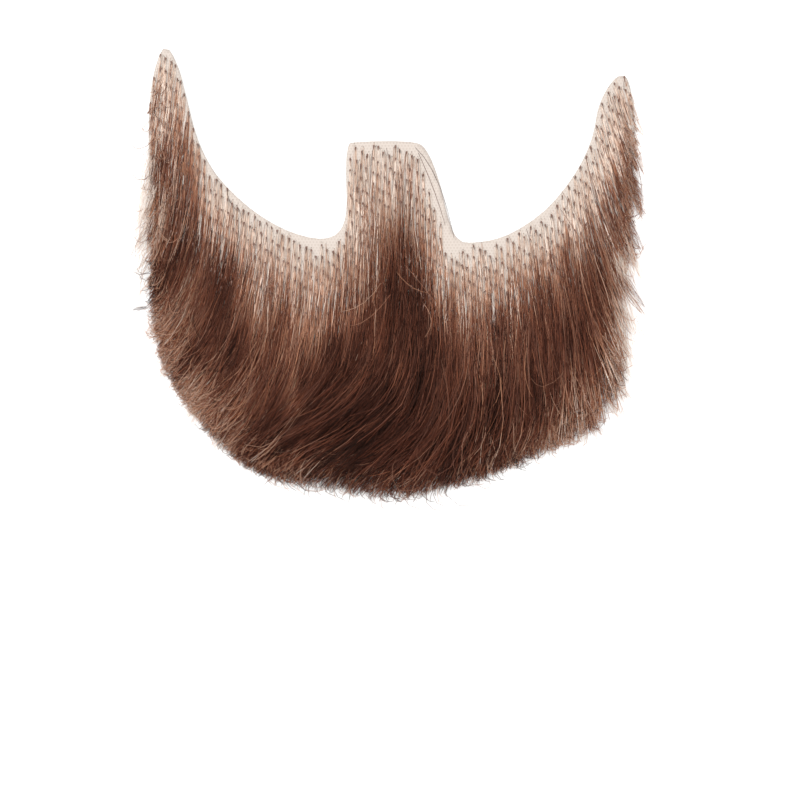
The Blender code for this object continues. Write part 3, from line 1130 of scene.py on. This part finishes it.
    def grow(
        self, roots: Array, lengths: Array, lift: Array, rng: Random
    ) -> tuple[Array, Array]:
        """Grows hairs from their roots, gathers them in wisps and trims them.

        Args:
            roots: Where they are knotted.
            lengths: How long they are before they are trimmed.
            lift: How high in the pile each rises, from 0 to 1.
            rng: The source of scatter.

        Returns:
            The paths, by hair, then point, then x, y and z, and each hair's change of tone.
        """
        count = len(roots)
        loose = self.looseness(roots)
        lie = Lie.loose(loose, self.turn[0], self.bend[0], rng)
        path = self.plan.trace(roots, lengths, lie, self.steps)
        leaders, lock = self.wisps_of(roots, rng)
        wisp = nearest_root(roots, leaders[:, 0])
        share = np.linspace(0.0, 1.0, self.steps + 1)
        guide = place_at(leaders, wisp, lengths[:, None] * share / self.leader_step)
        hold = (rng.uniform(*self.wisp_hold, count) * loose)[:, None] * share**0.9
        path = drawn_together(path, guide, hold)

        by_wisp, by_hair = self.cut_scatter
        cut = np.abs(rng.normal(0.0, by_wisp, self.wisps))
        for *spot, middle, spread in self.ragged_places:
            near = nearness(leaders[:, self.leader_end], spot)
            cut += np.abs(rng.normal(middle, spread, self.wisps)) * near
        cut = cut[wisp] + np.abs(rng.normal(0.0, by_hair, count))
        past = self.plan.trim_room(path) < cut[:, None]
        past[:, -1] = True
        stop = np.maximum(past.argmax(1), 3) * rng.uniform(0.93, 1.0, count)
        plan_path = place_at(path, np.arange(count), stop[:, None] * STATIONS)

        high = read_table(self.pile, plan_path[..., 1])
        deep = self.fullness(roots, self.plan.depth(roots))
        high *= read_table(self.pile_share, deep)[:, None]
        high *= 1.0 - (1.0 - np.clip(self.room(plan_path) / self.rim, 0.0, 1.0)) ** 2
        reach = (stop / self.steps * lengths)[:, None] * STATIONS / self.full_rise
        rise = 1.0 - (1.0 - np.clip(reach, 0.0, 1.0)) ** 1.7
        on_net = self.plan.on_net(plan_path.reshape(-1, 2)).reshape(high.shape)
        by_lock, by_wisp = self.lift_scatter
        lift = lift * np.clip(rng.normal(1.0, by_lock, self.locks), 0.5, 1.25)[lock[wisp]]
        lift = lift * np.clip(rng.normal(1.0, by_wisp, self.wisps), 0.6, 1.2)[wisp]
        height = np.where(on_net, *self.lowest) + high * rise * lift[:, None]
        height[:, 0] = self.net.top_at(roots) + 0.05
        by_wisp, by_lock = self.tone_scatter[:2]
        tone = rng.normal(0.0, by_wisp, self.wisps)[wisp]
        tone += rng.normal(0.0, by_lock, self.locks)[lock[wisp]]
        return with_height(plan_path, height), tone

    def tones(self, places: Array) -> Array:
        """Returns the usual tone of the hair at each place, from dark at 0 to pale at 1, with painted
        highlight near the hairline and painted shade deeper in the pile.
        """
        # Paler near the hairline and darker deeper in: partly the hair's own colour, partly painted
        # highlight and painted shade
        tone = read_table(self.tone_and_shade_by_depth, self.plan.depth(places))
        for *spot, change in self.tone_places:
            tone += change * nearness(places, spot)
        return tone

    def down(self, knots: Knots, rng: Random) -> Strands:
        """Makes the short pale hair that fills the ground between the knots at the hairline.

        Args:
            knots: The knots that it lies between.
            rng: The source of scatter.

        Returns:
            Its hairs.
        """
        places, depth = knots.places()
        near = self.fullness(places, depth) < self.down_reach
        roots = np.repeat(places[near], self.down_hairs, axis=0)
        roots = roots + rng.normal(0.0, self.down_spread, roots.shape)
        roots = roots[self.plan.on_net(roots)]
        count = len(roots)
        lengths = rng.uniform(*self.down_length, count)
        loose = np.full(count, self.down_looseness)
        lie = Lie.loose(loose, self.turn[0], self.bend[0], rng)
        path = self.plan.trace(roots, lengths, lie, self.down_steps)
        stops = np.tile(self.down_steps * STATIONS, (count, 1))
        path = place_at(path, np.arange(count), stops)
        bow = rng.uniform(*self.down_bow, count)[:, None] * np.sin(math.pi * STATIONS)
        height = self.net.top_at(path) + self.down_height + bow
        tone = self.tones(path) + rng.normal(*self.down_lighter, count)[:, None]
        thickness = np.tile(rng.uniform(*self.down_thickness, count)[:, None], len(STATIONS))
        tone = np.clip(tone, 0.0, 1.0)
        return Strands(with_height(path, height), thickness, tone, self.plan.fields(roots))

    def layer(self, which: Layer, knots: Knots, rng: Random) -> Strands:
        """Makes one layer of hair over the whole net.

        Args:
            which: The layer.
            knots: The knots that it hangs from.
            rng: The source of scatter.

        Returns:
            Its hairs.
        """
        places, depth = knots.places()
        counts = knots.hair_counts(places, depth, rng)
        counts = np.floor(counts / len(Layer) + rng.random(len(counts))).astype(int)
        knot = np.repeat(np.arange(len(places)), counts)
        count = len(knot)
        roots = places[knot] + rng.normal(0.0, self.root_scatter, (count, 2))
        lengths = read_table(self.lengths, roots[:, 1]) * rng.uniform(*which.lengths, count)
        paths, shared = self.grow(roots, lengths, rng.uniform(*which.lift, count), rng)
        by_hair, by_knot = self.tone_scatter[2:]
        own = shared + rng.normal(0.0, by_hair, count)
        own += rng.normal(0.0, by_knot, len(places))[knot] + which.lighter
        deep = self.fullness(roots, depth[knot])
        pale = rng.random(count) < read_table(self.pale, deep)
        step = np.where(pale, self.pale_step, -read_table(self.darker_between, deep))[:, None]
        step = step * read_table(self.fading, self.plan.depth(paths[..., :2]))
        room = self.room(paths)
        step = step + self.dry_lighter * (1.0 - np.clip(room / self.dry_end, 0.0, 1.0))
        uneven = 1.0 + np.clip(1.0 - room / self.uneven_rim, 0.0, 1.0)
        tone = np.clip(self.tones(paths[..., :2]) + own[:, None] * uneven + step, 0.0, 1.0)
        thickness = read_table(self.thickness, depth[knot])
        thickness *= rng.uniform(*self.thickness_scatter, count)
        thickness *= np.where(pale, self.pale_thickness, 1.0)
        thickness = thickness[:, None] * read_table(self.end_thickness, room)
        return Strands(paths, thickness, tone, self.plan.fields(roots))


@dataclass
class LooseHairs:
    """Tufts that stand out at the rims, and single hairs that have come away from the rest."""

    plan: BeardPlan
    net: NetBase
    # root x, y, tip x, y, hairs, width at the root, tone
    tufts: Table = (
        (72.4, 48, 77.4, 39.5, 10, 1.2, 0.9), (71.2, 43, 76.8, 29.4, 24, 1.8, 0.74),
        (71.6, 36, 76.2, 15.8, 30, 2.2, 0.46), (70.6, 30, 76, 21, 22, 2, 0.66),
        (70.4, 18, 76.2, 6.3, 24, 1.8, 0.5), (70.8, 10, 75.8, -3, 22, 2, 0.95),
        (68.2, 1, 77.2, -10.5, 16, 1.4, 0.5), (69.6, -4, 76.8, -13.2, 16, 1.6, 0.7),
        (68.4, 6, 73, -7, 34, 3, 0.95), (67.6, -5, 73.6, -19, 44, 3.4, 0.97),
        (67.4, -13, 73.2, -26, 44, 3.4, 0.96), (66.8, -20, 72.6, -33, 44, 3.4, 0.95),
        (66, -26, 71.4, -38.6, 40, 3.2, 0.9), (64.6, -33, 69.6, -44.5, 30, 3, 0.8),
        (59, -38, 63.6, -49, 28, 3, 0.74), (67, -8, 72, -22, 14, 3.4, 0.5),
        (66, -22, 70.6, -35, 14, 3.4, 0.5), (-72.2, 46, -75.2, 39, 8, 1.2, 0.85),
        (-71.4, 36, -75.6, 19, 26, 2, 1), (-71, 28, -76.6, 11, 34, 2.4, 1),
        (-70.4, 19, -77.2, 4.4, 34, 2.6, 0.98), (-70, 11, -77, -2, 20, 2.6, 0.95),
        (-69, 3, -76.2, -9, 14, 2.6, 0.9), (-70.4, 15, -77.2, 4.6, 9, 2.8, 0.45),
        (-70, 6, -76.4, -4, 9, 2.8, 0.45), (-67.4, -11, -73.6, -21, 20, 2.6, 0.8),
        (-64.4, -24, -69.4, -32.6, 20, 2.8, 0.76), (-56, -38, -60.4, -45.4, 24, 3.4, 0.84),
        (-48, -46, -53, -53, 26, 3.4, 0.88), (-72.8, -10.2, -77.9, -11.4, 12, 0.8, 0.2),
    )
    # x, y at the root, the middle and the tip, height, tone
    singles: Table = (
        (7.7, 37.6, 14.6, 27, 19.4, 10, 1, 0.12), (8.6, 36, 13.2, 25, 16.8, 14, 0.9, 0.3),
        (74, -14, 77.6, -22, 80.4, -29.6, 1, 0.85),
        (-14.9, -11.8, -8, -9.6, -2.3, -3, 7.4, 0.74),
        (-12, -16, -6, -13.8, 0.5, -6.4, 7.2, 0.62),
        (1.8, 0.4, 6.6, -4.6, 11.8, -6.2, 6.8, 0.66), (4.4, 2.2, 8, -2, 14, -9.4, 6.8, 0.6),
        (9.6, -8.8, 12.4, -14.4, 10.4, -19.6, 7.4, 0.7),
        (-48.6, 24.4, -47.6, 21, -45.2, 18.2, 1.1, 0.1),
        (-46, 20.4, -44.2, 16, -44.6, 10, 1.1, 0.16),
        (70.7, 59.6, 70.3, 57.4, 70.2, 54.6, 1.2, 0.05),
        (-31, -52.4, -20, -50.2, -8, -44, 6.6, 0.62),
        (-34, -58, -24, -53, -14, -50.6, 5.4, 0.6), (-40, -50, -30, -48.6, -19, -41, 6.8, 0.6),
        (30, -24, 33, -34, 29, -42, 7, 0.66), (41, -22, 40.2, -31, 43.6, -39, 7, 0.66),
    )
    strays: int = 320
    frayed: int = 2500
    # How far from the trim line hair is frayed, and where it is more: x, y, half width, half
    # height, how much farther
    frayed_reach: float = 6.0
    frizzy_places: Table = (
        (60, -44, 15, 12, 13), (-57, -42, 16, 14, 9), (-68, -20, 8, 14, 5),
    )
    # How far strays are turned, and frayed ends at their start and farther on, in degrees
    stray_turn: float = 13.0
    frayed_turns: Pair = (12.0, 34.0)
    # The number of the point that a stray turns about
    stray_middle: int = 3
    # How far strays and frayed ends are lifted off the hair that they lie on
    stray_lift: float = 0.5
    frayed_lift: float = 0.7
    # The palest that strays and frayed ends are
    stray_palest: float = 0.7
    frayed_palest: float = 0.72
    # How thick single hairs are, how thick strays are from least to most, and how many times
    # as thick as a stray the hairs of tufts and the frayed ends are
    single_thickness: float = 0.14
    stray_thickness: Pair = (0.09, 0.13)
    tuft_thicker: float = 0.75
    frayed_thicker: float = 1.5
    seed: int = 5

    def tuft_paths(self, rng: Random) -> tuple[Array, Array]:
        """Makes the tufts.

        Args:
            rng: The source of scatter.

        Returns:
            Their paths and tones.
        """
        paths: list[Array] = []
        tones: list[Array] = []
        share = STATIONS[None, :, None]
        for x, y, tip_x, tip_y, hairs, wide, tone in self.tufts:
            count = int(hairs)
            root = np.array((x, y)) + rng.normal(0.0, 0.5 * wide, (count, 2))
            tip = np.array((tip_x, tip_y)) + rng.normal(0.0, 0.36 * wide, (count, 2))
            tip = root + (tip - root) * rng.uniform(0.6, 1.04, count)[:, None]
            along = (tip - root)[:, None]
            aside = np.stack((along[..., 1], -along[..., 0]), axis=2)
            bow = rng.normal(0.02 * math.copysign(1.0, tip_x), 0.09, count)[:, None, None]
            flat = root[:, None] + along * share + aside * bow * np.sin(math.pi * share)
            rise = rng.uniform(0.6, 2.6, count)[:, None, None] * np.sin(math.pi * share**0.8)
            start = self.net.top_at(root)[:, None, None]
            height = start * (1 - share) + 0.4 * share + rise
            paths.append(with_height(flat, height[..., 0]))
            tones.append(np.clip(tone + rng.normal(0.0, 0.1, count), 0.0, 1.0))
        return np.concatenate(paths), np.concatenate(tones)

    def single_paths(self) -> tuple[Array, Array]:
        """Returns the paths and tones of the single long hairs."""
        table = np.array(self.singles)
        share = STATIONS[None, :, None]
        root, middle, tip = (table[:, None, k : k + 2] for k in (0, 2, 4))
        knee = 2 * middle - 0.5 * (root + tip)
        flat = root * (1 - share) ** 2 + 2 * knee * share * (1 - share) + tip * share**2
        height = table[:, 6][:, None, None] * (0.7 + 0.3 * np.sin(math.pi * share))
        return with_height(flat, height[..., 0]), table[:, 7]

    def frayed_hairs(self, pile: Strands, rng: Random) -> tuple[Array, Array]:
        """Makes the short ends that stand out of the trimmed rim at odd angles.

        Args:
            pile: The hair whose ends they are.
            rng: The source of scatter.

        Returns:
            Their paths and tones.
        """
        ends = pile.paths[:, -1, :2]
        reach = np.full(len(ends), self.frayed_reach)
        for *spot, more in self.frizzy_places:
            reach += more * nearness(ends, spot)
        at_rim = np.flatnonzero(self.plan.trim_room(ends) < reach)
        picked = rng.choice(at_rim, self.frayed, replace=False)
        last = len(STATIONS) - 1
        start = last * rng.uniform(0.5, 0.8, self.frayed)
        path = place_at(pile.paths, picked, start[:, None] + np.outer(last - start, STATIONS))
        first, farther = (
            rng.normal(0.0, math.radians(turn), self.frayed)[:, None] for turn in self.frayed_turns
        )
        path = turned(path, path[:, :1, :2], first + farther * STATIONS)
        path[:, 1:, 2] += self.frayed_lift
        tone = pile.tone[picked, -1] + rng.normal(0.0, 0.14, self.frayed)
        return path, np.clip(tone, 0.0, self.frayed_palest)

    def build_strands(self, pile: Strands) -> Strands:
        """Gathers the tufts, single hairs and strays.

        Args:
            pile: The hair that the strays lie on.

        Returns:
            All these hairs.
        """
        rng = np.random.default_rng(self.seed)
        tuft, tuft_tone = self.tuft_paths(rng)
        single, single_tone = self.single_paths()
        picked = rng.choice(len(pile.paths), self.strays, replace=False)
        turn = rng.normal(0.0, math.radians(self.stray_turn), self.strays)[:, None]
        stray = pile.paths[picked]
        middle = self.stray_middle
        stray = turned(stray, stray[:, middle : middle + 1, :2], turn)
        stray[:, 1:, 2] += self.stray_lift
        stray_tone = pile.tone[picked].mean(1) + rng.normal(0.03, 0.08, self.strays)
        stray_tone = np.clip(stray_tone, 0.0, self.stray_palest)
        frayed, frayed_tone = self.frayed_hairs(pile, rng)
        paths = np.concatenate((single, stray, tuft, frayed))
        tone = np.concatenate((single_tone, stray_tone, tuft_tone, frayed_tone))
        thickness = rng.uniform(*self.stray_thickness, (len(paths), 1))
        thickness[: len(single)] = self.single_thickness
        thickness[len(single) + len(stray) : -len(frayed)] *= self.tuft_thicker
        thickness[-len(frayed) :] *= self.frayed_thicker
        thickness = np.tile(thickness, len(STATIONS))
        tone = np.tile(tone[:, None], len(STATIONS))
        return Strands(paths, thickness, tone, self.plan.fields(paths[:, 0, :2]))


@dataclass
class Studio:
    """A white floor, soft light from above and a camera straight over the beard."""

    finish: StudioPaper
    # What the middle of the picture shows, in the tables' millimetres, and its width there
    middle: Pair = (3.15, -38.1)
    width: float = 240.0
    lens: float = 85.0
    sensor: float = 36.0
    floor_side: float = 3.0
    fill: float = 0.8
    # Name, place in metres, size, watts
    lamps: tuple[tuple[str, Place, float, float], ...] = (
        ("overhead_soft_box", (0.0, 0.05, 1.1), 0.9, 6.0),
        ("upper_left_soft_box", (-0.75, 0.7, 0.8), 0.45, 9.0),
        ("front_soft_box", (0.45, -0.9, 0.75), 0.6, 3.0),
    )

    def floor(self) -> Piece:
        """Makes the floor as a flat sheet of paper."""
        bpy.ops.mesh.primitive_grid_add(x_subdivisions=8, y_subdivisions=8, size=self.floor_side)
        piece = bpy.context.object
        piece.name = "paper_floor"
        piece.data.materials.append(self.finish.build())
        return piece

    def lights(self) -> None:
        """Hangs a large soft light overhead, one at the upper left and one low in front."""
        for name, place, size, watts in self.lamps:
            data = bpy.data.lights.new(name, "AREA")
            data.size = size
            data.energy = watts
            lamp = bpy.data.objects.new(name, data)
            lamp.location = place
            lamp.rotation_euler = (-lamp.location).to_track_quat("-Z", "Y").to_euler()
            bpy.context.scene.collection.objects.link(lamp)
        world = bpy.data.worlds.new("studio_fill")
        world.use_nodes = True
        background = world.node_tree.nodes["Background"].inputs
        background["Color"].default_value = (1.0, 1.0, 1.0, 1.0)
        background["Strength"].default_value = self.fill
        bpy.context.scene.world = world
        bpy.context.scene.view_settings.view_transform = "Standard"

    def camera(self) -> Piece:
        """Puts the camera straight above the middle of the picture."""
        data = bpy.data.cameras.new("overhead_camera")
        data.lens = self.lens
        data.sensor_width = self.sensor
        camera = bpy.data.objects.new("overhead_camera", data)
        distance = self.width * self.lens / self.sensor
        x, y = self.middle[0] - PLAN_CENTRE[0], self.middle[1] - PLAN_CENTRE[1]
        camera.location = (x * MM, y * MM, distance * MM)
        bpy.context.scene.collection.objects.link(camera)
        bpy.context.scene.camera = camera
        return camera


def main() -> None:
    """Builds the beard and the studio in order."""
    logging.basicConfig(level=logging.INFO, format="%(name)s: %(message)s", stream=sys.stdout)
    studio = Studio(WHITE_PAPER)
    studio.camera()
    studio.floor()
    studio.lights()

    plan = BeardPlan()
    net = NetBase(plan, PALE_NET)
    sheet = net.build()
    declare(sheet, "net_base")
    LOG.info("%s: %d faces", sheet.name, len(sheet.data.polygons))

    knots = Knots(plan)
    pelt = Pelt(plan, net)
    hair = BROWN_HAIR.build()
    knotted = KNOTTED_HAIR.build()
    for part in Field:
        piece = knots.build(part, net, knotted)
        declare(piece, part.value)
        LOG.info("%s: %d faces", piece.name, len(piece.data.polygons))
    layers = {
        which.title: pelt.layer(which, knots, np.random.default_rng(LAYER_SEED + number))
        for number, which in enumerate(Layer)
    }
    layers["down"] = pelt.down(knots, np.random.default_rng(DOWN_SEED))
    layers["loose"] = LooseHairs(plan, net).build_strands(layers[Layer.OVER.title])
    for title, strands in layers.items():
        for index, part in enumerate(Field):
            hairs = strands.chosen(strands.field == index)
            piece = hairs.build(f"{part.value}_{title}", hair)
            declare(piece, part.value)
            LOG.info("%s: %d hairs", piece.name, len(hairs.tone))


if __name__ == "__main__":
    main()
